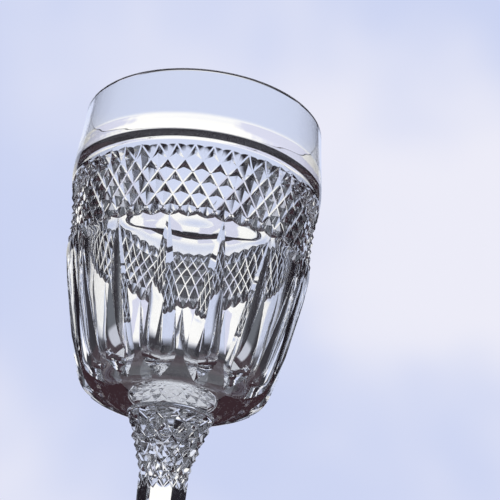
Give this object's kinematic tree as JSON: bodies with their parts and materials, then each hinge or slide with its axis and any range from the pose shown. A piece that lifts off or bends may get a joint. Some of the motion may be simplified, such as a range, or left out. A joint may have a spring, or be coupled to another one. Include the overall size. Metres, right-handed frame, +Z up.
{
  "type": "wine glass",
  "caption": "Stemmed cut-crystal wine glass: plain rim, band of sharp diamonds, pointed flutes, diamond-cut knop, six-sided stem and round foot.",
  "frame": {"origin": "middle of the flat ring on the underside of the foot", "axes": "+Z up along the stem towards the rim; the middle of one flute of the bowl faces -Y"},
  "size_m": [0.0728, 0.0728, 0.175],
  "materials": {
    "bowl_crystal": "polished clear crystal",
    "collar_crystal": "polished clear crystal",
    "stem_crystal": "polished clear crystal",
    "foot_crystal": "polished clear crystal"
  },
  "bodies": {
    "root": {"bowl": "bowl_crystal", "collar": "collar_crystal", "stem": "stem_crystal", "foot": "foot_crystal"}
  },
  "joints": []
}
